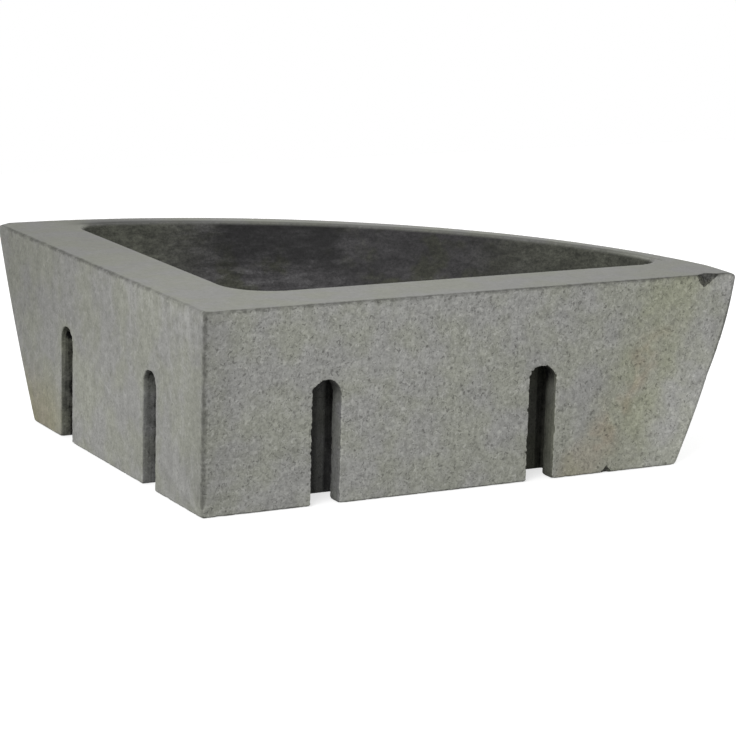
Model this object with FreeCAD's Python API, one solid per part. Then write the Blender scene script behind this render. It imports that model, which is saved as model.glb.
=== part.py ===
import FreeCAD, Part
import math
import os

# Stone corner basin with a push-to-close waste. All sizes in mm.
# The wall corner stands at the origin on the underside, one wall runs along +X, the other along +Y, +Z is up.

# Basin, outside
LONG_SIDE = 453.0           # along the X wall, at the rim
SHORT_SIDE = 403.0          # along the Y wall, at the rim
HEIGHT = 148.0
LONG_LEAN = 48.0            # how much shorter the long side is at the underside
SHORT_LEAN = 81.5           # how much shorter the short side is at the underside
FRONT_BELLY = 4.0           # swell of the front past a straight lean, at half height
FRONT_STRAIGHT = 14.0       # the front leaves the short wall square for this long, then curves
FRONT_SETBACK = 25.0        # the front's curve is centred this far behind the long wall
CORNER_ROUND = 2.0          # upright edge where the walls meet
END_ROUND = 4.0             # upright edges where the front meets the walls
WORN_EDGE = 1.0             # rounding of the rim edges and the underside edge
BEHIND_WALL = 30.0          # the front is drawn on past the walls and cut off there

# Bowl
WALL_RIM = 55.0             # rim width along the two walls
FRONT_RIM = 23.0            # rim width where the front leaves the short wall
LONG_END_RIM = 16.0         # rim width where the front meets the long wall
BOWL_DEPTH = 88.0
BOWL_SWEEP = 45.0           # how far the bowl wall curves in by the floor
BOWL_CORNER_ROUND = 38.0
BOWL_END_ROUND = 24.0
FLOOR_FALL = 3.0            # dip of the floor towards the drain
FLOOR_FALL_WIDTH = 55.0     # width of the dip around the seat of the waste

# Hanging slots in the wall faces, placed by their distance from the wall corner
LONG_NEAR_SLOT = 97.5
LONG_NEAR_TOP = 92.0        # the slots are cut by hand, so their tops differ
LONG_FAR_SLOT = 279.0
LONG_FAR_TOP = 88.0
SHORT_NEAR_SLOT = 92.5
SHORT_NEAR_TOP = 88.0
SHORT_FAR_SLOT = 251.0
SHORT_FAR_TOP = 90.0
SLOT_WIDTH = 23.0
SLOT_LIP = 15.0             # stone left in front of the undercut
UNDERCUT_WIDTH = 44.0
UNDERCUT_DEPTH = 16.0

# Drain hole
DRAIN_X = 185.0
DRAIN_Y = 168.0
RECESS_RADIUS = 56.0
CLAMPED_STONE = 17.5        # stone between the two gaskets
HOLE_CLEARANCE = 1.5

# Waste body, with the plain outside size of a G 1 1/4 thread
TAIL_RADIUS = 20.95
TAIL_WALL = 2.95
TAIL_ABOVE_FOOT = 3.0       # the tail stops this far above the underside
FLANGE_RADIUS = 32.0
FLANGE_THICKNESS = 2.5
FLANGE_PROUD = 0.5
FLANGE_EDGE = 1.0           # rounding of the flange and the cap
SEAT_DEPTH = 4.0            # of the 45 degree seat for the plug
SEAT_CLEARANCE = 2.0        # stone around the flange
GASKET_THICKNESS = 1.5
SPIDER_ARMS = 3
SPIDER_ARM_WIDTH = 4.0
SPIDER_DROP = 19.5          # flange top to hub top
HUB_RADIUS = 11.0
HUB_HEIGHT = 8.0

# Clamping stack under the stone
UNDER_GASKET_RADIUS = 30.0
UNDER_GASKET_THICKNESS = 5.0
SLIP_WASHER_RADIUS = 29.0
SLIP_WASHER_THICKNESS = 1.5
BACK_NUT_FLATS = 55.0
BACK_NUT_HEIGHT = 9.5
BACK_NUT_CHAMFER = 1.2      # height of the turned-off corners
THREAD_CLEARANCE = 0.1
RELIEF_WIDTH = 1.0          # groove in the tail just under the back nut
RELIEF_DEPTH = 0.6

# Cartridge
SLEEVE_RADIUS = 8.0
SLEEVE_WALL = 2.0
SLEEVE_BELOW_COLLAR = 31.5
COLLAR_FLATS = 19.0
COLLAR_HEIGHT = 2.5
SLEEVE_TOP_LIP = 4.5
END_CAP_RIM = 1.5
END_CAP_PLUG = 3.0
END_CAP_FLATS = 13.0

# Plunger, cam and spring
PLUNGER_RADIUS = 4.0
PLUNGER_HEAD_HEIGHT = 3.7
SPIGOT_RADIUS = 2.0
CAM_HEIGHT = 5.0
CAM_TEETH = 8
CAM_TOOTH_DEPTH = 1.2
SPRING_WIRE = 0.9
SPRING_TURNS = 7
RUNNING_FIT = 0.08
MOVING_GAP = 0.4

# Plug
PLUG_TRAVEL = 8.0
PLUG_GAP = 0.45             # left between seal and seat when closed
CAP_DOME = 2.0
CAP_EDGE = 1.5
SEAL_THICKNESS = 2.2
SEAL_WIDTH = 6.0
CAP_BOSS_RADIUS = 6.0
CAP_BOSS_HEIGHT = 4.0
STUD_RADIUS = 3.0
STUD_ENGAGEMENT = 8.0
LOCKNUT_FLATS = 10.0
LOCKNUT_HEIGHT = 4.0

# Heights that follow from the sizes above
FLOOR_Z = HEIGHT - BOWL_DEPTH
FLANGE_TOP = FLOOR_Z - FLOOR_FALL + FLANGE_PROUD
FLANGE_BOTTOM = FLANGE_TOP - FLANGE_THICKNESS
STONE_SEAT = FLANGE_BOTTOM - GASKET_THICKNESS
RECESS_TOP = STONE_SEAT - CLAMPED_STONE
BACK_NUT_TOP = RECESS_TOP - UNDER_GASKET_THICKNESS - SLIP_WASHER_THICKNESS
BACK_NUT_BOTTOM = BACK_NUT_TOP - BACK_NUT_HEIGHT
RELIEF_TOP = BACK_NUT_BOTTOM - RELIEF_WIDTH / 2
TAIL_BORE = TAIL_RADIUS - TAIL_WALL
SEAT_RADIUS = TAIL_BORE + SEAT_DEPTH
HOLE_RADIUS = TAIL_RADIUS + HOLE_CLEARANCE
HUB_TOP = FLANGE_TOP - SPIDER_DROP
COLLAR_TOP = HUB_TOP + COLLAR_HEIGHT
SLEEVE_BOTTOM = HUB_TOP - SLEEVE_BELOW_COLLAR
SLEEVE_BORE = SLEEVE_RADIUS - SLEEVE_WALL
HEAD_TOP = COLLAR_TOP - SLEEVE_TOP_LIP - MOVING_GAP
HEAD_BOTTOM = HEAD_TOP - PLUNGER_HEAD_HEIGHT
CAM_TOP = HEAD_BOTTOM - MOVING_GAP
CAM_BOTTOM = CAM_TOP - CAM_HEIGHT
CAM_RADIUS = SLEEVE_BORE - MOVING_GAP
SPRING_FOOT = SLEEVE_BOTTOM + END_CAP_PLUG
SEAL_TOP_RADIUS = SEAT_RADIUS - 2.0
SEAL_BOTTOM_RADIUS = SEAL_TOP_RADIUS - SEAL_THICKNESS
CAP_RADIUS = SEAL_TOP_RADIUS
CAP_BOTTOM = FLANGE_TOP - SEAT_RADIUS + SEAL_TOP_RADIUS + PLUG_GAP * math.sqrt(2) + PLUG_TRAVEL
STUD_TOP = CAP_BOTTOM
LOCKNUT_TOP = CAP_BOTTOM - CAP_BOSS_HEIGHT - SEAL_THICKNESS
PLUNGER_TOP = LOCKNUT_TOP - LOCKNUT_HEIGHT
STUD_BOTTOM = PLUNGER_TOP - STUD_ENGAGEMENT

UP = FreeCAD.Vector(0, 0, 1)
DRAIN = FreeCAD.Vector(DRAIN_X, DRAIN_Y, 0)


def point(x, y, z):
    return FreeCAD.Vector(x, y, z)


def save(name, shape):
    shape.exportStep("parts/" + name + ".step")


def save_at_drain(name, shape):
    moved = shape.copy()
    moved.translate(DRAIN)
    save(name, moved)


def rod(radius, bottom, top):
    return Part.makeCylinder(radius, top - bottom, point(0, 0, bottom))


def ring(outer, inner, bottom, top):
    return rod(outer, bottom, top).cut(rod(inner, bottom - 1, top + 1))


def hexagon(flats, bottom, top):
    radius = flats / math.sqrt(3)
    angles = [math.radians(60 * i) for i in range(7)]
    corners = [point(radius * math.cos(a), radius * math.sin(a), bottom) for a in angles]
    return Part.Face(Part.makePolygon(corners)).extrude(point(0, 0, top - bottom))


def turned(points):
    profile = Part.makePolygon([point(r, 0, z) for r, z in points + points[:1]])
    return Part.Face(profile).revolve(point(0, 0, 0), UP, 360)


# Quarter-round outlines of the basin and the bowl

def front_reach(side, lean, z):
    height_share = z / HEIGHT
    belly = 4 * FRONT_BELLY * height_share * (1 - height_share)
    return side - lean * (1 - height_share) + belly


def sharp_outline(start, reach_x, reach_y, z):
    """Wire at height z: two sides from (start, start) and an oval front that ends in straight stretches."""
    centre = point(FRONT_STRAIGHT, -FRONT_SETBACK, z)
    half_y = reach_y - centre.y
    half_x = (reach_x - centre.x) / math.sqrt(1 - (centre.y / half_y) ** 2)
    along_x = max(start - centre.x, 0)
    along_y = max(start - centre.y, 0)
    x_end = centre + point(half_x * math.sqrt(1 - (along_y / half_y) ** 2), along_y, 0)
    y_end = centre + point(along_x, half_y * math.sqrt(1 - (along_x / half_x) ** 2), 0)
    if half_x >= half_y:
        ellipse = Part.Ellipse(centre + point(half_x, 0, 0), centre + point(0, half_y, 0), centre)
    else:
        ellipse = Part.Ellipse(centre + point(0, half_y, 0), centre - point(half_x, 0, 0), centre)
    front = Part.Edge(ellipse, ellipse.parameter(x_end), ellipse.parameter(y_end))
    corners = [y_end, point(start, y_end.y, z), point(start, start, z), point(x_end.x, start, z), x_end]
    sides = [Part.makeLine(a, b) for a, b in zip(corners, corners[1:]) if a.distanceToPoint(b) > 0.001]
    return Part.Wire(sides + [front])


def upright_edges(shape, height, wall):
    """Upright edges in the two straight sides, which lie wall away from the axes, the inner corner first."""
    upright = [e for e in shape.Edges if abs(e.BoundBox.ZLength - height) < 0.01]
    in_sides = [e for e in upright if min(e.BoundBox.XMax, e.BoundBox.YMax) < wall + 0.01]
    return sorted(in_sides, key=lambda e: e.BoundBox.XMin + e.BoundBox.YMin)


def round_uprights(shape, height, wall, corner_round, end_round):
    shape = shape.makeFillet(end_round, upright_edges(shape, height, wall)[1:])
    return shape.makeFillet(corner_round, upright_edges(shape, height, wall)[:1])


def rounded_outline(start, reach_x, reach_y, corner_round, end_round, z):
    slab = Part.Face(sharp_outline(start, reach_x, reach_y, z)).extrude(UP)
    slab = round_uprights(slab, 1, start, corner_round, end_round)
    underside = min(slab.Faces, key=lambda f: f.CenterOfMass.z)
    return underside.OuterWire


def block():
    sections = []
    for share in (0, 0.5, 1):
        z = HEIGHT * share
        reach_x = front_reach(LONG_SIDE, LONG_LEAN, z)
        reach_y = front_reach(SHORT_SIDE, SHORT_LEAN, z)
        sections.append(sharp_outline(-BEHIND_WALL, reach_x, reach_y, z))
    room = Part.makeBox(2 * LONG_SIDE, 2 * SHORT_SIDE, HEIGHT)
    stone = Part.makeLoft(sections, True).common(room)
    return round_uprights(stone, HEIGHT, 0, CORNER_ROUND, END_ROUND)


def bowl():
    sections = []
    for degrees in (90, 67.5, 45, 22.5, 0):
        angle = math.radians(degrees)
        z = HEIGHT - BOWL_DEPTH * math.sin(angle)
        sweep = BOWL_SWEEP * (1 - math.cos(angle))
        reach_x = front_reach(LONG_SIDE, LONG_LEAN, z) - LONG_END_RIM - sweep
        reach_y = front_reach(SHORT_SIDE, SHORT_LEAN, z) - FRONT_RIM - sweep
        end_round = BOWL_END_ROUND + sweep / 2
        sections.append(rounded_outline(WALL_RIM + sweep, reach_x, reach_y, BOWL_CORNER_ROUND, end_round, z))
    return Part.makeLoft(sections, True)


def slot_prism(width, top, depth_from, depth_to):
    """Round-topped prism that stands across the X wall, centred on x = 0."""
    radius = width / 2
    spring_z = top - radius
    arc = Part.Arc(point(radius, depth_from, spring_z), point(0, depth_from, top),
                   point(-radius, depth_from, spring_z))
    sides = [point(-radius, depth_from, spring_z), point(-radius, depth_from, -1),
             point(radius, depth_from, -1), point(radius, depth_from, spring_z)]
    outline = Part.Wire([arc.toShape()] + Part.makePolygon(sides).Edges)
    return Part.Face(outline).extrude(point(0, depth_to - depth_from, 0))


def hanging_slot(distance, top, along_x):
    overhang = (UNDERCUT_WIDTH - SLOT_WIDTH) / 2
    neck = slot_prism(SLOT_WIDTH, top, -1, SLOT_LIP + 1)
    undercut = slot_prism(UNDERCUT_WIDTH, top + overhang, SLOT_LIP, SLOT_LIP + UNDERCUT_DEPTH)
    slot = neck.fuse(undercut)
    slot.translate(point(distance, 0, 0))
    if not along_x:
        slot = slot.mirror(point(0, 0, 0), point(1, -1, 0))
    return slot


def drain_opening():
    seat_radius = FLANGE_RADIUS + SEAT_CLEARANCE
    hole = rod(HOLE_RADIUS, 0, FLOOR_Z)
    recess = rod(RECESS_RADIUS, -1, RECESS_TOP)
    seat = rod(seat_radius, STONE_SEAT, FLOOR_Z + 1)
    dip_foot = point(0, 0, FLOOR_Z - FLOOR_FALL)
    dip = Part.makeCone(seat_radius, seat_radius + FLOOR_FALL_WIDTH, FLOOR_FALL, dip_foot)
    opening = hole.fuse([recess, seat, dip])
    opening.translate(DRAIN)
    return opening


def level_edges(shape, z):
    return [e for e in shape.Edges if abs(e.BoundBox.ZMin - z) < 0.01 and abs(e.BoundBox.ZMax - z) < 0.01]


def basin():
    stone = block()
    stone = stone.makeFillet(WORN_EDGE, level_edges(stone, HEIGHT) + level_edges(stone, 0))
    stone = stone.cut(bowl())
    stone = stone.makeFillet(WORN_EDGE, inner_rim_edges(stone))
    slots = [hanging_slot(LONG_NEAR_SLOT, LONG_NEAR_TOP, True),
             hanging_slot(LONG_FAR_SLOT, LONG_FAR_TOP, True),
             hanging_slot(SHORT_NEAR_SLOT, SHORT_NEAR_TOP, False),
             hanging_slot(SHORT_FAR_SLOT, SHORT_FAR_TOP, False)]
    return stone.cut(slots + [drain_opening()])


def inner_rim_edges(stone):
    rim = max(stone.Faces, key=lambda f: f.CenterOfMass.z)
    return [e for w in rim.Wires if not w.isSame(rim.OuterWire) for e in w.Edges]


# Waste, built about the drain axis

def waste_body():
    tail_bottom = TAIL_ABOVE_FOOT
    flange = rod(FLANGE_RADIUS, FLANGE_BOTTOM, FLANGE_TOP)
    flange = flange.makeFillet(FLANGE_EDGE, level_edges(flange, FLANGE_TOP))
    shell = rod(TAIL_RADIUS, tail_bottom, FLANGE_TOP - FLANGE_EDGE).fuse(flange)
    bore = rod(TAIL_BORE, tail_bottom - 1, FLANGE_TOP + 1)
    seat = Part.makeCone(TAIL_BORE, SEAT_RADIUS, SEAT_DEPTH, point(0, 0, FLANGE_TOP - SEAT_DEPTH))
    relief = ring(TAIL_RADIUS + 1, TAIL_RADIUS - RELIEF_DEPTH, RELIEF_TOP - RELIEF_WIDTH, RELIEF_TOP)
    shell = shell.cut([bore, seat, relief])
    reach = TAIL_BORE + TAIL_WALL / 2
    arm_corner = point(0, -SPIDER_ARM_WIDTH / 2, HUB_TOP - HUB_HEIGHT)
    arm = Part.makeBox(reach, SPIDER_ARM_WIDTH, HUB_HEIGHT, arm_corner)
    arms = []
    for i in range(SPIDER_ARMS):
        turned_arm = arm.copy()
        turned_arm.rotate(point(0, 0, 0), UP, 360 / SPIDER_ARMS * i)
        arms.append(turned_arm)
    hub = rod(HUB_RADIUS, HUB_TOP - HUB_HEIGHT, HUB_TOP)
    thread = rod(SLEEVE_RADIUS + THREAD_CLEARANCE, HUB_TOP - HUB_HEIGHT - 1, HUB_TOP + 1)
    return shell.fuse(arms + [hub]).cut(thread).removeSplitter()


def flange_gasket():
    return ring(FLANGE_RADIUS, HOLE_RADIUS, STONE_SEAT, FLANGE_BOTTOM)


def under_gasket():
    bottom = RECESS_TOP - UNDER_GASKET_THICKNESS
    return ring(UNDER_GASKET_RADIUS, TAIL_RADIUS + THREAD_CLEARANCE, bottom, RECESS_TOP)


def slip_washer():
    top = BACK_NUT_TOP + SLIP_WASHER_THICKNESS
    return ring(SLIP_WASHER_RADIUS, TAIL_RADIUS + THREAD_CLEARANCE, BACK_NUT_TOP, top)


def back_nut():
    thread = rod(TAIL_RADIUS + THREAD_CLEARANCE, BACK_NUT_BOTTOM - 1, BACK_NUT_TOP + 1)
    corner = BACK_NUT_FLATS / math.sqrt(3)
    foot = (corner + BACK_NUT_FLATS / 2) / 2
    head = foot + (corner - foot) * BACK_NUT_HEIGHT / BACK_NUT_CHAMFER
    turning = Part.makeCone(foot, head, BACK_NUT_HEIGHT, point(0, 0, BACK_NUT_BOTTOM))
    return hexagon(BACK_NUT_FLATS, BACK_NUT_BOTTOM, BACK_NUT_TOP).common(turning).cut(thread)


# Cartridge

def cartridge_sleeve():
    tube = rod(SLEEVE_RADIUS, SLEEVE_BOTTOM, HUB_TOP).fuse(hexagon(COLLAR_FLATS, HUB_TOP, COLLAR_TOP))
    chamber = rod(SLEEVE_BORE, SLEEVE_BOTTOM - 1, COLLAR_TOP - SLEEVE_TOP_LIP)
    guide = rod(PLUNGER_RADIUS + RUNNING_FIT, SLEEVE_BOTTOM, COLLAR_TOP + 1)
    return tube.cut([chamber, guide])


def cartridge_end_cap():
    rim = hexagon(END_CAP_FLATS, SLEEVE_BOTTOM - END_CAP_RIM, SLEEVE_BOTTOM)
    return rim.fuse(rod(SLEEVE_BORE - THREAD_CLEARANCE, SLEEVE_BOTTOM, SPRING_FOOT))


def return_spring():
    """Coil of half turns: each is half a ring, tilted so that it rises to the next one."""
    wire_radius = SPRING_WIRE / 2
    coil_radius = SLEEVE_BORE - MOVING_GAP - wire_radius
    half_turns = 2 * SPRING_TURNS
    rise = (CAM_BOTTOM - SPRING_FOOT - SPRING_WIRE) / half_turns
    tilt = math.degrees(math.asin(rise / (2 * coil_radius)))
    coil = []
    for i in range(half_turns):
        half_ring = Part.makeTorus(coil_radius, wire_radius, point(0, 0, 0), UP, 0, 360, 180)
        half_ring.rotate(point(0, 0, 0), point(0, 1, 0), tilt)
        half_ring.rotate(point(0, 0, 0), UP, 180 * i)
        half_ring.translate(point(0, 0, SPRING_FOOT + wire_radius + rise * (i + 0.5)))
        coil.append(half_ring)
    return coil[0].fuse(coil[1:])


def index_cam():
    cam = ring(CAM_RADIUS, SPIGOT_RADIUS + RUNNING_FIT, CAM_BOTTOM, CAM_TOP)
    step = 360 / CAM_TEETH
    half_step = CAM_RADIUS * math.tan(math.radians(step / 2))
    low = CAM_TOP - CAM_TOOTH_DEPTH
    tooth_gap = Part.makePolygon([point(0, -half_step, CAM_TOP), point(0, half_step, CAM_TOP),
                                  point(0, -half_step, low), point(0, -half_step, CAM_TOP)])
    notch = Part.Face(tooth_gap).extrude(point(CAM_RADIUS + 1, 0, 0))
    notch.translate(point((CAM_RADIUS + SPIGOT_RADIUS) / 2, 0, 0))
    notches = []
    for i in range(CAM_TEETH):
        turned_notch = notch.copy()
        turned_notch.rotate(point(0, 0, 0), UP, step * i)
        notches.append(turned_notch)
    return cam.cut(notches)


# Plug

def plunger():
    head = rod(CAM_RADIUS, HEAD_BOTTOM, HEAD_TOP)
    spigot = rod(SPIGOT_RADIUS, CAM_BOTTOM, HEAD_BOTTOM)
    stem = rod(PLUNGER_RADIUS, HEAD_TOP, PLUNGER_TOP)
    return spigot.fuse([head, stem]).cut(rod(STUD_RADIUS + THREAD_CLEARANCE, STUD_BOTTOM, PLUNGER_TOP + 1))


def plug_stud():
    return rod(STUD_RADIUS, STUD_BOTTOM, STUD_TOP)


def stud_locknut():
    nut = hexagon(LOCKNUT_FLATS, PLUNGER_TOP, LOCKNUT_TOP)
    return nut.cut(rod(STUD_RADIUS + THREAD_CLEARANCE, PLUNGER_TOP - 1, LOCKNUT_TOP + 1))


def plug_cap():
    edge_top = CAP_BOTTOM + CAP_EDGE
    rise = CAP_DOME
    dome_radius = (CAP_RADIUS ** 2 + rise ** 2) / (2 * rise)
    ball = Part.makeSphere(dome_radius, point(0, 0, edge_top + rise - dome_radius))
    disc = rod(CAP_RADIUS, CAP_BOTTOM, edge_top + rise).common(ball)
    disc = disc.makeFillet(FLANGE_EDGE, level_edges(disc, edge_top))
    seal_spigot = rod(SEAL_BOTTOM_RADIUS - SEAL_WIDTH, CAP_BOTTOM - SEAL_THICKNESS, CAP_BOTTOM)
    boss = rod(CAP_BOSS_RADIUS, LOCKNUT_TOP, CAP_BOTTOM)
    socket = rod(STUD_RADIUS + THREAD_CLEARANCE, LOCKNUT_TOP - 1, STUD_TOP)
    return disc.fuse([seal_spigot, boss]).cut(socket)


def plug_seal():
    inner = SEAL_BOTTOM_RADIUS - SEAL_WIDTH
    bottom = CAP_BOTTOM - SEAL_THICKNESS
    return turned([(inner, bottom), (SEAL_BOTTOM_RADIUS, bottom), (SEAL_TOP_RADIUS, CAP_BOTTOM),
                   (inner, CAP_BOTTOM)])


os.makedirs("parts", exist_ok=True)
save("basin", basin())
for build in (waste_body, flange_gasket, under_gasket, slip_washer, back_nut,
              cartridge_sleeve, cartridge_end_cap, return_spring, index_cam,
              plunger, plug_stud, stud_locknut, plug_cap, plug_seal):
    save_at_drain(build.__name__, build())
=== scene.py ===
import bmesh
import bpy
import itertools
import math
import numpy as np
from mathutils import Matrix, Vector, noise
from types import SimpleNamespace


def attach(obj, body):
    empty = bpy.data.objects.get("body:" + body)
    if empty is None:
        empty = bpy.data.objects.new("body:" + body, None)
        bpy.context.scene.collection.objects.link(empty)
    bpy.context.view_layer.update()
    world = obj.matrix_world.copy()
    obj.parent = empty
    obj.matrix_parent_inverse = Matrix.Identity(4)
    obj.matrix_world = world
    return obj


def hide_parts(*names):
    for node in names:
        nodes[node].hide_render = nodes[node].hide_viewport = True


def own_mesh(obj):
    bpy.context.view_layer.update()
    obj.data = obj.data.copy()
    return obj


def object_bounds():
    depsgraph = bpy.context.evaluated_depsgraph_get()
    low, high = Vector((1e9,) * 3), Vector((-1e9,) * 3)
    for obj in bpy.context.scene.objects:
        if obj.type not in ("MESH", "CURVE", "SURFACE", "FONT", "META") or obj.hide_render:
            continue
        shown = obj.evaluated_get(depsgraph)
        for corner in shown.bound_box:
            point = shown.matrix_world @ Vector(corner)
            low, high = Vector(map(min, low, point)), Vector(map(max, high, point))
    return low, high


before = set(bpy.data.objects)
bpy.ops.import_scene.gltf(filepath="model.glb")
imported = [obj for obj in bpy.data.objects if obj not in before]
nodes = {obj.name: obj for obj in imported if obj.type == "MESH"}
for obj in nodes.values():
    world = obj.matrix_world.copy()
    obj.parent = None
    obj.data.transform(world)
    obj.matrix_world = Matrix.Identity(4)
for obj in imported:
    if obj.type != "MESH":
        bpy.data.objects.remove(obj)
cad_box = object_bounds()

# Sizes of the stone in metres, the same as in the part's source. The wall corner stands at the origin.
LONG_SIDE = 0.453
SHORT_SIDE = 0.403
HEIGHT = 0.148
LONG_LEAN = 0.048
SHORT_LEAN = 0.0815
FRONT_BELLY = 0.004
FRONT_STRAIGHT = 0.014
FRONT_SETBACK = 0.025       # the front's curve is centred this far behind the long wall
WALL_RIM = 0.055
FRONT_RIM = 0.023           # where the front leaves the short wall
LONG_END_RIM = 0.016        # where the front meets the long wall
SLOT_RADIUS = 0.0115
SLOT_LIP = 0.015
UNDERCUT_RADIUS = 0.022
UNDERCUT_DEPTH = 0.016
LONG_SLOTS = ((0.0975, 0.092), (0.279, 0.088))      # distance from the wall corner, and top
SHORT_SLOTS = ((0.0925, 0.088), (0.251, 0.090))

# Stone mesh
GRAIN_STEP = 0.0011         # size of the faces of the carved mesh
STONE_TRIANGLES = 190000
SHARP_ANGLE = 34            # edges sharper than this, in degrees, aren't smoothed
JOIN_DISTANCE = 1e-6        # points of a CAD mesh that lie closer than this become one
NORMAL_WEIGHT = 60          # above 50, large faces lead the smoothing of small ones
SURFACE_SLACK = 0.002       # points this far outside a face still count as on it
NO_LENGTH = 1e-9            # these two keep a length and a radius from being zero
NO_RADIUS = 1e-6
BOWL_MARGIN = 0.004         # the bowl's finish may start this far outside its mouth
BOWL_FOOT = 0.045           # below the bowl's floor

# Worn, rounded and chipped edges of the stone
WEAR_REACH = 0.0026         # how far from an edge the nibbling goes
EDGE_WEAR = 0.0006
LONG_SLOT_WEAR = 0.0020
SHORT_SLOT_WEAR = 0.0005
EVEN_BITE = 0.1             # shares of the wear: even, in small nibbles and in longer waves
NIBBLE_BITE = 0.7
WAVE_BITE = 0.8
NIBBLE_SCALE = 420
WAVE_SCALE = 120
WAVE_SHIFT = Vector((7, 3, 1))
FRONT_EDGE = 0.0025         # radius of the front's top edge
FRONT_MOUTH = 0.005         # radius of the front's inner edge, over the bowl
MOUTH_FADE = 0.03           # that radius grows over this distance from the wall rims
MOUTH_START = 0.2           # share of that distance that stays sharp
LONG_END_TOP = 0.0090       # knocked-round corners at the two ends of the front
LONG_END_FOOT = 0.0055
SHORT_END_TOP = 0.0120
SHORT_END_FOOT = 0.0010
LONG_END_FADE = 0.035
SHORT_END_FADE = 0.010
SLOT_FOOT = 0.0015
LIP_FOOT = 0.0045           # radius at the foot of the long wall's slots, on the inside of their lips
SHOULDER = 0.0022           # bulge of the front below the rim, at its long end
SHOULDER_FOOT = 0.070
SHOULDER_LENGTH = 0.20
RIM_CHIP = {"x": 0.4245, "slant": 0.36, "half_width": 0.0088, "height": 0.0085, "depth": 0.0050}
FOOT_CHIP = {"x": 0.3390, "slant": 0.0, "half_width": 0.0045, "height": 0.0045, "depth": 0.0030}

# Stains and shade on the stone
YELLOW_BAND = {"foot": 0.332, "slope": 0.46}        # slanting lines on the long wall, by their x at the foot
RUST_TRAIL = {"foot": 0.3125, "slope": 0.65}
DARK_PATCH = (0.217, 0.321)                         # in the bowl, under the front's rim
PATCH_STRAY = 0.03
LONG_SLOT_SHADE = {"mouth": 0.53, "away": 0.16, "deeper": 0.05}     # more away from the corner and inside
SHORT_SLOT_SHADE = {"mouth": 0.44, "away": 0.09, "deeper": 0.42}
DEEPER_AWAY = 0.14
SOFT_BORDER = 0.0010        # width of the borders of the faces and of the slots' shade
FACE_SKIN = 0.0006          # depth of the walls' own finish
NECK_MARGIN = 0.0012        # how far the slots' shade reaches past the carved shape
UNDERCUT_MARGIN = 0.0020
BACK_MARGIN = 0.0005

# Colours of the stone as sRGB values
OLIVE_GREY = (145, 146, 137)
PLAIN_GREY = (145, 145, 142)
PALE_SPECK = (190, 190, 184)
PIT_GREY = (70, 70, 66)
CHALK = (190, 190, 186)
# dark lines on the edges: partly dirt, partly painted shade
EDGE_DIRT_AND_SHADE = (58, 58, 54)
# darkening of the front's rim along the bowl's mouth
MOUTH_DARKENING = (14, 14, 13)
DEEP_SHADE = (6, 6, 6)
BOWL_PURPLE = (46, 45, 46)
BOWL_OLIVE = (44, 45, 36)
BOWL_ENDS = (62, 63, 56)
BOWL_STROKE = (82, 81, 82)

# Tints that are multiplied with the stone's colour
YELLOW_TINT = (0.985, 0.995, 0.86, 1.0)
RUST_TINT = (1.07, 0.94, 0.89, 1.0)
OCHRE_TINT = (0.97, 0.91, 0.74, 1.0)
# the two slot tints colour the painted shade in the slots
NEAR_SLOT_TINT = (0.99, 0.99, 1.03, 1.0)
FAR_SLOT_TINT = (1.0, 1.01, 0.92, 1.0)

# Waste
DRAIN = (0.185, 0.168)
SPRING = {"foot": 0.0095, "height": 0.017, "radius": 0.0052, "wire": 0.00045, "turns": 7.0, "sides": 12}
COIL_STEPS = 40             # straight pieces in one turn of a coil
THREAD_RADIUS = 0.02095
THREAD_DEPTH = 0.00115
THREAD_PITCH = 0.0023
TAIL_FOOT = 0.003
TAIL_THREAD = 0.0155        # length of thread below the back nut
TAIL_SLACK = 0.0003         # points this far inside the thread's radius count as on it
NUT_SLACK = 0.0002          # and so do points this far above its end

# Floor, light and camera
FLOOR_REACH = 1.6
FLOOR_LEVEL = -0.0004
FLOOR_GLOW = 0.68           # strength that makes the floor look white
WORLD_LIGHT = 0.58          # strength of the surroundings as a light, and as a background
WORLD_SEEN = 1.0
LAMP_AIM = (0.2, 0.18, 0.08)
KEY_LAMP = {"place": (-1.65, -1.28, 1.62), "size": 1.4, "power": 58}
FILL_LAMP = {"place": (2.3, 2.1, 0.42), "size": 1.6, "power": 60}
CAMERA_PLACE = (-0.77913, -1.66136, 0.51135)
CAMERA_TURN = -28.690       # degrees
CAMERA_DIP = 12.302
CAMERA_ROLL = 1.550
SENSOR_WIDTH = 36.0         # millimetres
LENS_LENGTH = 132.05
WHITE = (1.0, 1.0, 1.0, 1.0)


# Shader building

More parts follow.
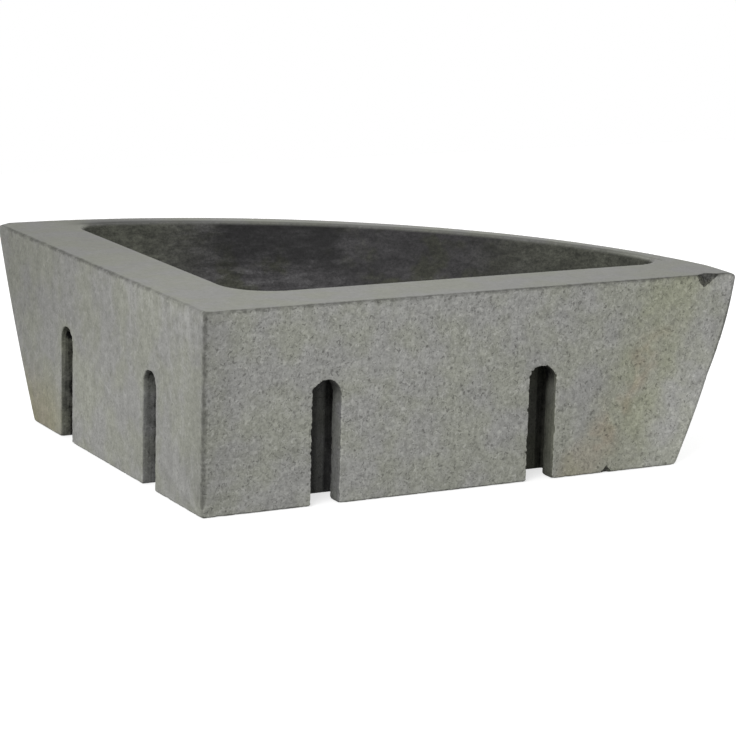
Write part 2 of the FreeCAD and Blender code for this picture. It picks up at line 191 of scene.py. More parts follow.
class Finish:
    """A material under construction. Most methods add nodes and return what comes out of them."""

    def __init__(self, name):
        self.material = bpy.data.materials.new(name)
        self.material.use_nodes = True
        self.tree = self.material.node_tree
        self.shader = self.tree.nodes["Principled BSDF"]
        self.place = self.tree.nodes.new("ShaderNodeTexCoord").outputs["Object"]

    def add(self, kind, links=(), **settings):
        node = self.tree.nodes.new(kind)
        for name, value in settings.items():
            setattr(node, name, value)
        for socket, value in dict(links).items():
            self.feed(node.inputs[socket], value)
        return node

    def feed(self, socket, value):
        if isinstance(value, bpy.types.NodeSocket):
            self.tree.links.new(value, socket)
        else:
            socket.default_value = value

    def stretched(self, *scale):
        return self.add("ShaderNodeMapping", {"Vector": self.place, "Scale": scale}).outputs["Vector"]

    def noise(self, scale, detail=3.0, roughness=0.55, at=None, distortion=0.0):
        node = self.add("ShaderNodeTexNoise", {"Vector": at or self.place, "Scale": scale, "Detail": detail,
                                               "Roughness": roughness, "Distortion": distortion})
        return node.outputs["Fac"]

    def cells(self, scale):
        """Distance from the nearest cell centre, and a number that differs from cell to cell."""
        node = self.add("ShaderNodeTexVoronoi", {"Vector": self.place, "Scale": scale, "Randomness": 1.0})
        split = self.add("ShaderNodeSeparateColor", {"Color": node.outputs["Color"]})
        return node.outputs["Distance"], split.outputs["Red"]

    def ease(self, value, low, high, start=0.0, end=1.0):
        """Smooth step of value from low to high."""
        ends = {"Value": value, "From Min": low, "From Max": high, "To Min": start, "To Max": end}
        return self.add("ShaderNodeMapRange", ends, interpolation_type="SMOOTHSTEP").outputs["Result"]

    def math(self, operation, a, b=0.0):
        node = self.add("ShaderNodeMath", operation=operation)
        self.feed(node.inputs[0], a)
        self.feed(node.inputs[1], b)
        return node.outputs["Value"]

    def plus(self, a, b):
        return self.math("ADD", a, b)

    def minus(self, a, b):
        return self.math("SUBTRACT", a, b)

    def times(self, *factors):
        product = factors[0]
        for factor in factors[1:]:
            product = self.math("MULTIPLY", product, factor)
        return product

    def swing(self, pattern, amount):
        """A pattern about 0.5 made into a factor about 1."""
        return self.plus(1.0, self.times(self.minus(pattern, 0.5), amount))

    def between(self, share, a, b):
        node = self.add("ShaderNodeMix", data_type="FLOAT")
        for socket, value in zip(("Factor", "A", "B"), (share, a, b)):
            self.feed(node.inputs[socket], value)
        return node.outputs["Result"]

    def mix(self, share, a, b, blend="MIX"):
        node = self.add("ShaderNodeMix", data_type="RGBA", blend_type=blend)
        for socket, value in zip(("Factor", "A", "B"), (share, a, b)):
            self.feed(next(i for i in node.inputs if i.name == socket and i.enabled), value)
        return next(o for o in node.outputs if o.enabled)

    def attribute(self, name):
        return self.add("ShaderNodeAttribute", attribute_name=name).outputs["Fac"]

    def bump(self, height, depth, strength=1.0):
        links = {"Height": height, "Distance": depth, "Strength": strength}
        return self.add("ShaderNodeBump", links).outputs["Normal"]

    def set(self, **sockets):
        for name, value in sockets.items():
            self.feed(self.shader.inputs[name.replace("_", " ")], value)
        return self.material


def tone(srgb):
    """Linear colour from sRGB values of 0 to 255."""
    return tuple(((v / 255 + 0.055) / 1.055) ** 2.4 for v in srgb) + (1.0,)


# Mesh helpers

def vertex_array(mesh, field):
    values = np.empty(len(mesh.vertices) * 3, np.float32)
    mesh.vertices.foreach_get(field, values)
    return values.reshape(-1, 3).astype(float)


def set_points(mesh, points):
    mesh.vertices.foreach_set("co", points.astype(np.float32).ravel())
    mesh.update()


def applied(obj, kind, inputs=(), **settings):
    """Adds a modifier and makes its result the object's own mesh."""
    modifier = obj.modifiers.new(kind.title(), kind)
    for name, value in settings.items():
        setattr(modifier, name, value)
    for identifier, value in dict(inputs).items():
        modifier[identifier] = value
    graph = bpy.context.evaluated_depsgraph_get()
    mesh = bpy.data.meshes.new_from_object(obj.evaluated_get(graph))
    obj.modifiers.clear()
    obj.data = mesh
    return mesh


def new_object(name, data):
    obj = bpy.data.objects.new(name, data)
    bpy.context.scene.collection.objects.link(obj)
    return obj


def node_copy(node, name):
    """A copy of a CAD node's mesh with its loose triangles joined."""
    mesh = nodes[node].data.copy()
    work = bmesh.new()
    work.from_mesh(mesh)
    bmesh.ops.remove_doubles(work, verts=work.verts, dist=JOIN_DISTANCE)
    work.to_mesh(mesh)
    work.free()
    return new_object(name, mesh)


def finished(obj, material, body, node):
    obj.data.materials.clear()
    obj.data.materials.append(material)
    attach(obj, body)
    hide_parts(node)


# Stone

def front_reach(side, lean, z):
    share = np.clip(z / HEIGHT, 0, 1)
    return side - lean * (1 - share) + 4 * FRONT_BELLY * share * (1 - share)


def oval_place(points, reach_x, reach_y):
    """How far each point lies inside an oval drawn like the front, and the way out of it in plan."""
    half_y = reach_y + FRONT_SETBACK
    half_x = (reach_x - FRONT_STRAIGHT) / np.sqrt(1 - (FRONT_SETBACK / half_y) ** 2)
    across = np.maximum(points[:, 0] - FRONT_STRAIGHT, 0) / half_x
    along = (points[:, 1] + FRONT_SETBACK) / half_y
    size = np.hypot(across, along)
    way = np.stack([across / half_x, along / half_y]) / size
    slope = np.hypot(*way)
    return (1 - size) / slope, way / slope


def front_place(points):
    """How far each point lies inside the leaning front, and the way out of it in plan."""
    z = points[:, 2]
    return oval_place(points, front_reach(LONG_SIDE, LONG_LEAN, z), front_reach(SHORT_SIDE, SHORT_LEAN, z))


def mouth_depth(points):
    """How far each point lies behind the front's rim, towards the bowl."""
    z = points[:, 2]
    reach_x = front_reach(LONG_SIDE, LONG_LEAN, z) - LONG_END_RIM
    reach_y = front_reach(SHORT_SIDE, SHORT_LEAN, z) - FRONT_RIM
    return oval_place(points, reach_x, reach_y)[0]


def slot_gap(along, z, slots):
    """Distance within a wall face from the nearest slot's outline."""
    nearest = np.full(along.shape, 1.0)
    for centre, top in slots:
        up = np.maximum(z - (top - SLOT_RADIUS), 0)
        nearest = np.minimum(nearest, np.abs(np.hypot(along - centre, up) - SLOT_RADIUS))
    return nearest


def outer_edge_distance(points):
    x, y, z = points.T
    sides = np.stack([x, y, z, HEIGHT - z, front_place(points)[0]])
    return np.partition(sides, 1, axis=0)[1]


def slot_edge_distance(along, into, z, slots):
    """Distance from the edges at the two ends of a slot's neck."""
    end = np.minimum(np.abs(into), np.abs(into - SLOT_LIP))
    return np.maximum(end, slot_gap(along, z, slots))


def worn(points, normals):
    """Points near an edge sink in unevenly, most at the necks of the long wall's slots."""
    moved = points.copy()
    x, y, z = points.T
    edges = ((outer_edge_distance(points), EDGE_WEAR),
             (slot_edge_distance(x, y, z, LONG_SLOTS), LONG_SLOT_WEAR),
             (slot_edge_distance(y, x, z, SHORT_SLOTS), SHORT_SLOT_WEAR))
    for distance, depth in edges:
        for i in np.nonzero(distance < WEAR_REACH)[0]:
            place = Vector(points[i])
            nibble = noise.noise(place * NIBBLE_SCALE)
            wave = noise.noise(place * WAVE_SCALE + WAVE_SHIFT)
            bite = max(0.0, EVEN_BITE + NIBBLE_BITE * nibble + WAVE_BITE * wave)
            moved[i] -= normals[i] * depth * bite * (1 - distance[i] / WEAR_REACH)
    return moved


def edge_shift(a, b, radius):
    """How far points move off two faces to round the edge where the faces meet."""
    over = np.stack([radius - a, radius - b])
    length = np.hypot(*over) + NO_LENGTH
    hit = (over > 0).all(axis=0) & (length > radius) & (a > -SURFACE_SLACK) & (b > -SURFACE_SLACK)
    return np.where(hit, over * (1 - radius / length), 0)


def rounded_front(points):
    """The front's top edge is eased, most at its two ends, and its inner edge falls softly into the bowl."""
    moved = points.copy()
    x, y, z = points.T
    front, way = front_place(points)
    long_end = np.clip(1 - y / LONG_END_FADE, 0, 1)
    short_end = np.clip(1 - x / SHORT_END_FADE, 0, 1)
    top_radius = FRONT_EDGE + (LONG_END_TOP - FRONT_EDGE) * long_end
    top_radius = top_radius + (SHORT_END_TOP - FRONT_EDGE) * short_end
    foot_radius = LONG_END_FOOT * long_end + SHORT_END_FOOT * short_end + NO_RADIUS
    down, back = edge_shift(HEIGHT - z, front, top_radius)
    up, foot_back = edge_shift(z, front, foot_radius)
    clear = np.clip((np.minimum(x, y) - WALL_RIM) / MOUTH_FADE - MOUTH_START, 0, 1)
    fall, out = edge_shift(HEIGHT - z, -mouth_depth(points), FRONT_MOUTH * clear + NO_RADIUS)
    moved[:, 2] += up - down - fall
    moved[:, :2] += ((out - back - foot_back) * way).T
    return moved


def rounded_slot_feet(points):
    """The slots' necks are rounded where they meet the underside, and so are the long wall's lips inside."""
    moved = points.copy()
    for axis, into, slots in ((0, 1, LONG_SLOTS), (1, 0, SHORT_SLOTS)):
        for centre, _ in slots:
            side = points[:, axis] - centre
            lip = (points[:, into] < SLOT_LIP) & (np.abs(side) < SLOT_RADIUS + 2 * SLOT_FOOT)
            up, away = edge_shift(points[:, 2], np.abs(side) - SLOT_RADIUS, SLOT_FOOT)
            moved[:, 2] += np.where(lip, up, 0)
            moved[:, axis] += np.where(lip, away * np.sign(side), 0)
    for centre, _ in LONG_SLOTS:
        side = np.abs(points[:, 0] - centre)
        radius = LIP_FOOT * np.clip((UNDERCUT_RADIUS - side) / LIP_FOOT, 0, 1) + NO_RADIUS
        up, out = edge_shift(points[:, 2], SLOT_LIP - points[:, 1], radius)
        moved[:, 2] += up
        moved[:, 1] -= out
    return moved


def swollen(points):
    """The front bulges a little below the rim at its long end."""
    moved = points.copy()
    front, way = front_place(points)
    share = np.clip((points[:, 2] - SHOULDER_FOOT) / (HEIGHT - SHOULDER_FOOT), 0, 1)
    near = np.clip(1 - points[:, 1] / SHOULDER_LENGTH, 0, 1) * np.clip(1 - front / LONG_END_RIM, 0, 1)
    moved[:, :2] += (SHOULDER * np.sin(np.pi * share) * near * way).T
    return moved


def chip_reach(points, chip, level):
    """Below 1 in the pyramid that a chip takes off the long wall. Level counts from the rim or the foot."""
    across = np.abs(points[:, 0] - chip["x"] + chip["slant"] * level) / chip["half_width"]
    return across + level / chip["height"] + points[:, 1] / chip["depth"]


def chipped(points):
    """Small pyramids are broken out of the long wall's rim and foot."""
    moved = points.copy()
    for chip, level, inwards in ((RIM_CHIP, HEIGHT - points[:, 2], -1), (FOOT_CHIP, points[:, 2], 1)):
        share = np.clip(1 - chip_reach(points, chip, level), 0, 1) / 2
        moved[:, 1] += share * chip["depth"]
        moved[:, 2] += inwards * share * chip["height"]
    return moved


def inside_bowl(points):
    x, y, z = points.T
    inside = np.min([x - WALL_RIM, y - WALL_RIM, mouth_depth(points) + FRONT_MOUTH], axis=0)
    return ((inside > -BOWL_MARGIN) & (z > BOWL_FOOT)).astype(float)


def stone_block(material):
    stone = node_copy("basin", "stone_block")
    mesh = applied(stone, "REMESH", mode="VOXEL", voxel_size=GRAIN_STEP)
    points = rounded_slot_feet(rounded_front(vertex_array(mesh, "co")))
    points = chipped(swollen(worn(points, vertex_array(mesh, "normal"))))
    set_points(mesh, points.clip(np.array(cad_box[0]), np.array(cad_box[1])))
    triangles = sum(len(p.vertices) - 2 for p in mesh.polygons)
    mesh = applied(stone, "DECIMATE", ratio=min(1.0, STONE_TRIANGLES / triangles))
    mesh.polygons.foreach_set("use_smooth", [True] * len(mesh.polygons))
    mesh.set_sharp_from_angle(angle=math.radians(SHARP_ANGLE))
    mesh = applied(stone, "WEIGHTED_NORMAL", weight=NORMAL_WEIGHT, keep_sharp=True)
    points = vertex_array(mesh, "co")
    masks = {"front": front_place(points)[0], "mouth": mouth_depth(points), "inner": inside_bowl(points)}
    for name, values in masks.items():
        mesh.attributes.new(name, "FLOAT", "POINT").data.foreach_set("value", values.astype(np.float32))
    finished(stone, material, "basin", "basin")


# Stone finish

def within(f, distance, limit, margin):
    """1 where a distance is below its limit and margin, with a soft border."""
    return f.ease(distance, limit + margin + SOFT_BORDER, limit + margin)


def stone_places(f):
    """Where on the stone a point lies."""
    axes = f.add("ShaderNodeSeparateXYZ", {"Vector": f.place}).outputs
    at = SimpleNamespace(x=axes["X"], y=axes["Y"], z=axes["Z"])
    at.below_rim = f.minus(HEIGHT, at.z)
    at.front = f.attribute("front")
    at.mouth = f.attribute("mouth")
    at.bowl = f.times(f.attribute("inner"), f.ease(at.below_rim, 0.0003, 0.0032))
    at.rim = f.times(f.ease(at.below_rim, 0.0012, 0.0004), f.minus(1.0, at.bowl))
    at.long_face = within(f, at.y, 0.0, FACE_SKIN)
    at.short_face = within(f, at.x, 0.0, FACE_SKIN)
    at.from_corner = f.math("MAXIMUM", at.x, at.y)
    at.away = f.ease(at.from_corner, 0.13, 0.24)
    return at


def stone_edge_gap(f, at):
    """Distance from the nearest outer edge, leaving out the top edge of the front, which gets no dark line.
    """
    unlined_front = f.plus(at.front, f.times(f.ease(at.y, 0.03, 0.10), f.ease(at.z, 0.05, 0.10), 0.01))
    pairs = itertools.combinations((at.x, at.y, at.z, at.below_rim, unlined_front), 2)
    nearest = 1.0
    for a, b in pairs:
        nearest = f.math("MINIMUM", nearest, f.math("MAXIMUM", a, b))
    return nearest


def slot_shade(f, at):
    """Painted shade in the slots: their necks, most of all away from the wall corner, and the room behind."""
    shade = 0.0
    walls = ((at.x, at.y, LONG_SLOTS, LONG_SLOT_SHADE), (at.y, at.x, SHORT_SLOTS, SHORT_SLOT_SHADE))
    for along, into, slots, dark in walls:
        depth = f.times(into, 1 / SLOT_LIP)
        deeper = f.times(depth, f.plus(dark["deeper"], f.times(at.away, DEEPER_AWAY)))
        neck = f.plus(f.plus(dark["mouth"], f.times(at.away, dark["away"])), deeper)
        neck = f.times(f.ease(into, 0.0004, 0.0010), neck)
        behind = f.ease(into, SLOT_LIP - 0.0006, SLOT_LIP + 0.0006)
        shallow = within(f, into, SLOT_LIP + UNDERCUT_DEPTH, BACK_MARGIN)
        for centre, top in slots:
            side = f.math("ABSOLUTE", f.minus(along, centre))
            up = f.math("MAXIMUM", f.minus(at.z, top - SLOT_RADIUS), 0.0)
            reach = f.math("SQRT", f.plus(f.times(side, side), f.times(up, up)))
            in_neck = within(f, reach, SLOT_RADIUS, NECK_MARGIN)
            in_neck = f.times(in_neck, f.ease(at.z, top - 0.020, top - 0.006, 1.0, 1.35))
            in_undercut = within(f, reach, UNDERCUT_RADIUS, UNDERCUT_MARGIN)
            # The painted shade on the back is darkest in its middle by the wall corner, and even farther off.
            # Its ends are black.
            back = f.between(at.away, f.ease(side, 0.0060, 0.0100, 0.76, 0.37), 0.61)
            back = f.math("MAXIMUM", back, f.ease(side, 0.0125, 0.0160, 0.30, 0.93))
            here = f.between(behind, f.times(neck, in_neck), f.times(back, in_undercut, shallow))
            shade = f.math("MAXIMUM", shade, here)
    return shade


def chip_shade(f, at):
    """Painted shade on the broken faces of the chips, with ragged borders."""
    shade = 0.0
    ragged = f.times(f.minus(f.noise(260.0, 2.0, 0.7), 0.5), 0.5)
    for chip, level in ((RIM_CHIP, at.below_rim), (FOOT_CHIP, at.z)):
        side = f.plus(f.minus(at.x, chip["x"]), f.times(level, chip["slant"]))
        across = f.times(f.math("ABSOLUTE", side), 1 / chip["half_width"])
        reach = f.plus(f.times(level, 1 / chip["height"]), f.times(at.y, 1 / chip["depth"]))
        reach = f.plus(f.plus(across, reach), ragged)
        shade = f.math("MAXIMUM", shade, f.ease(reach, 1.28, 1.18, 0.0, 0.84))
    return f.times(shade, f.swing(f.noise(430.0, 2.0, 0.7), 1.1))


def stone_grain(f, at):
    """Salt-and-pepper colour and relief: strong on the long face, soft on the short one, faint on the rim."""
    strength = f.between(at.long_face, 0.85, 1.0)
    strength = f.between(at.short_face, strength, 0.54)
    strength = f.between(at.rim, strength, 0.30)
    fine = f.noise(340.0, 1.5, 0.75, distortion=0.6)
    coarse = f.noise(105.0, 1.5, 0.6)
    clouds = f.noise(36.0, 2.0, 0.6)
    mottle = f.times(f.plus(0.22, f.times(strength, 0.28)), f.minus(1.0, f.times(at.rim, 0.5)))
    saw_marks = f.noise(1.0, 3.0, 0.6, at=f.stretched(260.0, 260.0, 22.0))
    shade = f.swing(fine, f.times(strength, 1.05))
    shade = f.times(shade, f.swing(coarse, mottle), f.swing(clouds, f.times(strength, 0.22)))
    blotches = f.noise(95.0, 3.0, 0.6)
    shade = f.times(shade, f.swing(saw_marks, f.times(at.short_face, 0.07)))
    shade = f.times(shade, f.swing(blotches, f.times(at.short_face, 0.55)))
    tint = f.mix(f.ease(f.noise(26.0, 3.0), 0.38, 0.62), tone(OLIVE_GREY), tone(PLAIN_GREY))
    colour = f.mix(1.0, tint, shade, "MULTIPLY")
    specks = f.noise(300.0, 1.0, 0.6, distortion=1.2)
    light = f.times(f.ease(specks, 0.60, 0.74), strength)
    colour = f.mix(f.times(light, 0.40), colour, tone(PALE_SPECK))
    far, pick = f.cells(190.0)
    large = f.times(f.ease(far, 0.30, 0.10), f.ease(pick, 0.80, 0.86))
    far, pick = f.cells(520.0)
    small = f.times(f.ease(far, 0.42, 0.15), f.ease(pick, 0.55, 0.75), 0.6)
    holes = f.math("MAXIMUM", f.math("MAXIMUM", large, small), f.ease(specks, 0.37, 0.26))
    pits = f.times(holes, f.minus(strength, 0.2), f.minus(1.0, at.bowl))
    colour = f.mix(f.times(pits, 0.62), colour, tone(PIT_GREY))
    relief = f.minus(f.times(fine, strength), f.times(pits, 0.7))
    return colour, relief


def beside(f, at, line, stray):
    """Distance on the long wall from a slanting line that strays a little."""
    across = f.plus(f.minus(at.x, f.times(at.z, line["slope"])), stray)
    return f.math("ABSOLUTE", f.minus(across, line["foot"]))


def stone_stains(f, at, colour):
    """A yellow-green stain with a rusty trail on the long wall, and ochre and chalk on the short wall."""
    stray = f.times(f.minus(f.noise(28.0, 3.0), 0.5), 0.034)
    band = f.times(f.ease(beside(f, at, YELLOW_BAND, stray), 0.042, 0.018), at.long_face)
    colour = f.mix(f.times(band, 0.85), colour, YELLOW_TINT, "MULTIPLY")
    trail = beside(f, at, RUST_TRAIL, stray)
    patchy = f.ease(f.noise(34.0, 2.0), 0.42, 0.60)
    rust = f.times(f.ease(trail, 0.020, 0.004), f.ease(at.z, 0.115, 0.095), patchy)
    pool = f.times(f.ease(trail, 0.028, 0.010), f.ease(at.z, 0.040, 0.016), 0.55)
    rust = f.times(f.math("MAXIMUM", rust, pool), at.long_face)
    colour = f.mix(f.times(rust, 0.8), colour, RUST_TINT, "MULTIPLY")
    low_end = f.times(f.ease(at.y, 0.235, 0.30), f.ease(at.z, 0.060, 0.005), at.short_face)
    colour = f.mix(low_end, colour, OCHRE_TINT, "MULTIPLY")
    chalk = f.times(f.ease(at.below_rim, 0.034, 0.004), f.ease(at.y, 0.19, 0.10), at.short_face)
    chalk = f.times(chalk, f.ease(f.noise(1.0, 3.0, 0.6, at=f.stretched(120.0, 120.0, 40.0)), 0.48, 0.64))
    return f.mix(f.times(chalk, 0.24), colour, tone(CHALK))


def rim_light_and_shade(f, at):
    """Painted light and shade on the rim, which darkens away from the wall corner."""
    level = f.times(f.ease(at.from_corner, 0.12, 0.38, 0.81, 0.71), f.ease(at.x, 0.35, 0.41, 1.0, 0.94))
    by_short_wall = f.times(f.ease(at.x, 0.08, 0.05), f.ease(at.y, 0.10, 0.20))
    over_front = f.times(f.ease(at.mouth, 0.0, -0.004), f.ease(at.x, 0.08, 0.14), f.ease(at.y, 0.08, 0.14))
    return f.times(level, f.between(by_short_wall, 1.0, 0.95), f.between(over_front, 1.0, 1.12))


def wall_light_and_shade(f, at):
    """Painted light and shade on the two walls, which are darker or paler at their ends."""
    by_height = f.between(f.ease(at.y, 0.08, 0.20), 1.0, f.ease(at.z, 0.125, 0.030, 0.93, 1.10))
    short_wall = f.times(f.ease(at.y, 0.20, 0.37, 0.945, 0.78), by_height, f.ease(at.y, 0.030, 0.008, 1.0, 0.90))
    long_wall = f.plus(f.ease(at.x, 0.16, 0.02, 1.03, 0.95), f.ease(at.x, 0.37, 0.44, 0.0, 0.12))
    long_wall = f.plus(long_wall, f.ease(at.x, 0.035, 0.010, 0.0, -0.11))
    long_wall = f.plus(long_wall, f.times(f.ease(at.x, 0.345, 0.40), f.ease(at.z, 0.115, 0.030), 0.29))
    level = f.between(at.long_face, 1.0, long_wall)
    return f.between(at.short_face, level, short_wall)


def stone_tones(f, at, colour):
    """Painted light and shade on each face, and a darkening on the front's rim along the mouth of the bowl.
    """
    level = f.between(at.rim, wall_light_and_shade(f, at), rim_light_and_shade(f, at))
    colour = f.mix(1.0, colour, level, "MULTIPLY")
    # the front's rim darkens towards the bowl's mouth, starting farther out on the rim near the short wall
    dark_start = f.ease(at.x, 0.08, 0.20, -0.025, -0.010)
    mouth_dark = f.times(f.ease(at.mouth, dark_start, 0.002), f.ease(at.mouth, 0.010, 0.002))
    mouth_dark = f.times(mouth_dark, f.ease(at.below_rim, 0.010, 0.004))
    mouth_dark = f.times(mouth_dark, f.ease(at.x, 0.045, 0.085), f.ease(at.y, 0.08, 0.13))
    return f.mix(f.times(mouth_dark, 0.67), colour, tone(MOUTH_DARKENING))


def stone_edge_lines(f, at, colour):
    """Broken dark lines along the edges, partly dirt and partly painted shade, darkest down the wall corner
    and faint on the short wall's rim.
    """
    ragged = f.times(f.minus(f.noise(210.0, 2.0, 0.7), 0.5), 0.0042)
    upright = f.ease(at.from_corner, 0.007, 0.003)
    thin = f.minus(f.ease(at.z, 0.010, 0.006, 1.0, 2.2), f.times(upright, 0.15))
    gap = f.times(f.plus(stone_edge_gap(f, at), ragged), thin)
    broken = f.ease(f.noise(120.0, 3.0, 0.7), 0.34, 0.58, 0.45, 1.0)
    broken = f.math("MAXIMUM", broken, f.times(upright, 0.85))
    short_rim = f.times(f.ease(at.x, 0.006, 0.002), f.ease(at.below_rim, 0.010, 0.004))
    faint = f.times(f.ease(at.y, 0.15, 0.03), f.minus(0.5, f.times(upright, 0.5)))
    faint = f.times(short_rim, f.math("MAXIMUM", faint, f.ease(at.front, 0.035, 0.008, 0.0, 0.7)))
    far_foot = f.times(f.ease(at.z, 0.010, 0.006), f.ease(at.x, 0.20, 0.40, 0.0, 0.45))
    line = f.times(f.ease(gap, 0.0034, 0.0004), broken, f.minus(1.0, faint), f.minus(1.0, far_foot))
    return f.mix(f.times(line, f.plus(0.66, f.times(upright, 0.10))), colour, tone(EDGE_DIRT_AND_SHADE))


def painted_hollow_shade(f, at, colour):
    """Painted shade in the chips and slots. In the slots it is bluish by the wall corner and olive away from
    it.
    """
    streaks = f.noise(1.0, 3.0, 0.65, at=f.stretched(380.0, 380.0, 12.0))
    spots = f.noise(170.0, 3.0, 0.7)
    uneven = f.ease(f.minus(at.y, at.x), 0.0, 0.03, 0.5, 1.3)
    slots = f.times(slot_shade(f, at), f.swing(streaks, f.times(uneven, -1.0)), f.swing(spots, uneven))
    tint = f.mix(at.away, NEAR_SLOT_TINT, FAR_SLOT_TINT)
    colour = f.mix(f.math("MINIMUM", f.times(slots, 2.0), 1.0), colour, tint, "MULTIPLY")
    dark = f.math("MAXIMUM", slots, chip_shade(f, at))
    return f.mix(f.times(dark, 0.90), colour, tone(DEEP_SHADE))


def bowl_patch(f, at, smears):
    """A dark patch with smeared borders, high on the bowl's side under the front."""
    across = f.minus(at.x, DARK_PATCH[0])
    along = f.minus(at.y, DARK_PATCH[1])
    away = f.math("SQRT", f.plus(f.times(across, across), f.times(along, along)))
    away = f.plus(away, f.times(f.minus(smears, 0.5), PATCH_STRAY))
    return f.times(f.ease(away, 0.060, 0.044), f.ease(at.z, 0.105, 0.128))


def stone_bowl(f, at, colour):
    """Dark rubbed bowl, purple-grey with olive patches and ends, and pale strokes by the short wall's end."""
    turn = f.minus(at.x, f.times(at.y, 1.12))
    ends = f.math("MAXIMUM", f.ease(turn, 0.07, 0.22), f.ease(turn, -0.19, -0.30))
    patches = f.times(f.ease(f.noise(24.0, 3.0, 0.6), 0.50, 0.62, 0.0, 0.8), f.minus(1.0, ends))
    smears = f.noise(30.0, 5.0, 0.68, at=f.stretched(1.0, 1.0, 2.6), distortion=0.5)
    blots = f.noise(120.0, 4.0, 0.8, at=f.stretched(1.0, 1.0, 2.2))
    grit = f.noise(420.0, 2.0, 0.8)
    strokes = f.noise(1.0, 3.0, 0.6, at=f.stretched(45.0, 45.0, 190.0))
    dark = f.mix(ends, tone(BOWL_PURPLE), tone(BOWL_ENDS))
    dark = f.mix(patches, dark, tone(BOWL_OLIVE))
    pale = f.times(f.ease(strokes, 0.40, 0.70), f.ease(turn, -0.02, -0.12), f.ease(turn, -0.29, -0.22))
    dark = f.mix(f.times(pale, 0.42), dark, tone(BOWL_STROKE))
    shade = f.times(f.swing(smears, 2.1), f.swing(blots, 2.5), f.swing(grit, 1.6))
    shade = f.times(shade, f.minus(1.0, f.times(bowl_patch(f, at, smears), 0.62)))
    shade = f.times(shade, f.ease(at.z, 0.117, 0.106, 1.0, 1.25))
    return f.mix(at.bowl, colour, f.mix(1.0, dark, shade, "MULTIPLY"))


def stone_finish():
    f = Finish("pitted_stone")
    at = stone_places(f)
    colour, relief = stone_grain(f, at)
    colour = stone_tones(f, at, stone_stains(f, at, colour))
    colour = painted_hollow_shade(f, at, stone_edge_lines(f, at, colour))
    colour = stone_bowl(f, at, colour)
    roughness = f.minus(0.88, f.times(at.bowl, 0.26))
    normal = f.bump(relief, 0.0007, 0.6)
    return f.set(Base_Color=colour, Roughness=roughness, Normal=normal, Specular_IOR_Level=0.16)


# Coiled pieces of the waste

def coil_tree(material):
    """Geometry nodes for a wire that climbs round the drain axis."""
    tree = bpy.data.node_groups.new("coil", "GeometryNodeTree")
    for name in ("Turns", "Radius", "Height", "Foot", "Wire"):
        tree.interface.new_socket(name, in_out="INPUT", socket_type="NodeSocketFloat")
    tree.interface.new_socket("Sides", in_out="INPUT", socket_type="NodeSocketInt")
    tree.interface.new_socket("Geometry", in_out="OUTPUT", socket_type="NodeSocketGeometry")
    given = tree.nodes.new("NodeGroupInput").outputs
    spiral = tree.nodes.new("GeometryNodeCurveSpiral")
    spiral.inputs["Resolution"].default_value = COIL_STEPS
    upright = tree.nodes.new("GeometryNodeSetCurveNormal")
    upright.mode = "Z_UP"
    wire = tree.nodes.new("GeometryNodeCurvePrimitiveCircle")
    sweep = tree.nodes.new("GeometryNodeCurveToMesh")
    sweep.inputs["Fill Caps"].default_value = True
    foot = tree.nodes.new("ShaderNodeCombineXYZ")
    foot.inputs["X"].default_value = DRAIN[0]
    foot.inputs["Y"].default_value = DRAIN[1]
    move = tree.nodes.new("GeometryNodeTransform")
    realize = tree.nodes.new("GeometryNodeRealizeInstances")
    paint = tree.nodes.new("GeometryNodeSetMaterial")
    paint.inputs["Material"].default_value = material
    result = tree.nodes.new("NodeGroupOutput")
    feeds = ((given["Turns"], spiral.inputs["Rotations"]),
             (given["Radius"], spiral.inputs["Start Radius"]),
             (given["Radius"], spiral.inputs["End Radius"]),
             (given["Height"], spiral.inputs["Height"]),
             (given["Sides"], wire.inputs["Resolution"]),
             (given["Wire"], wire.inputs["Radius"]),
             (wire.outputs["Curve"], sweep.inputs["Profile Curve"]),
             (given["Foot"], foot.inputs["Z"]),
             (foot.outputs["Vector"], move.inputs["Translation"]))
    for source, target in feeds:
        tree.links.new(source, target)
    steps = (spiral, upright, sweep, move, realize, paint, result)
    for before, after in zip(steps, steps[1:]):
        tree.links.new(before.outputs[0], after.inputs[0])
    return tree


def coil(name, material, **sizes):
    tree = coil_tree(material)
    keys = {item.name: item.identifier for item in tree.interface.items_tree if item.in_out == "INPUT"}
    obj = new_object(name, bpy.data.meshes.new(name))
    applied(obj, "NODES", {keys[size]: value for size, value in sizes.items()}, node_group=tree)
    return obj


def return_spring(material):
    wire = SPRING["wire"]
    spring = coil("spring_coil", material, Turns=SPRING["turns"], Radius=SPRING["radius"], Wire=wire,
                  Height=SPRING["height"] - 2 * wire, Foot=SPRING["foot"] + wire, Sides=SPRING["sides"])
    spring.data.polygons.foreach_set("use_smooth", [True] * len(spring.data.polygons))
    finished(spring, material, "basin", "return_spring")
    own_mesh(spring)


def threaded_waste(material):
    """The waste's body with its tail turned down to the foot of the thread, and the thread's ridges on it."""
    body = node_copy("waste_body", "waste_shell")
    points = vertex_array(body.data, "co")
    arm = points[:, :2] - np.array(DRAIN)
    radius = np.hypot(*arm.T)
    outside = (radius > THREAD_RADIUS - TAIL_SLACK) & (points[:, 2] < TAIL_FOOT + TAIL_THREAD + NUT_SLACK)
    core = np.where(outside, THREAD_RADIUS - THREAD_DEPTH, radius)
    points[:, :2] = np.array(DRAIN) + arm * (core / radius)[:, None]
    set_points(body.data, points)
    finished(body, material, "basin", "waste_body")
    length = TAIL_THREAD - 2 * THREAD_DEPTH
    ridge = coil("tail_thread", material, Turns=length / THREAD_PITCH, Radius=THREAD_RADIUS - THREAD_DEPTH,
                 Height=length, Foot=TAIL_FOOT + THREAD_DEPTH, Wire=THREAD_DEPTH, Sides=4)
    finished(ridge, material, "basin", "waste_body")


# Metal, rubber and plastic of the waste

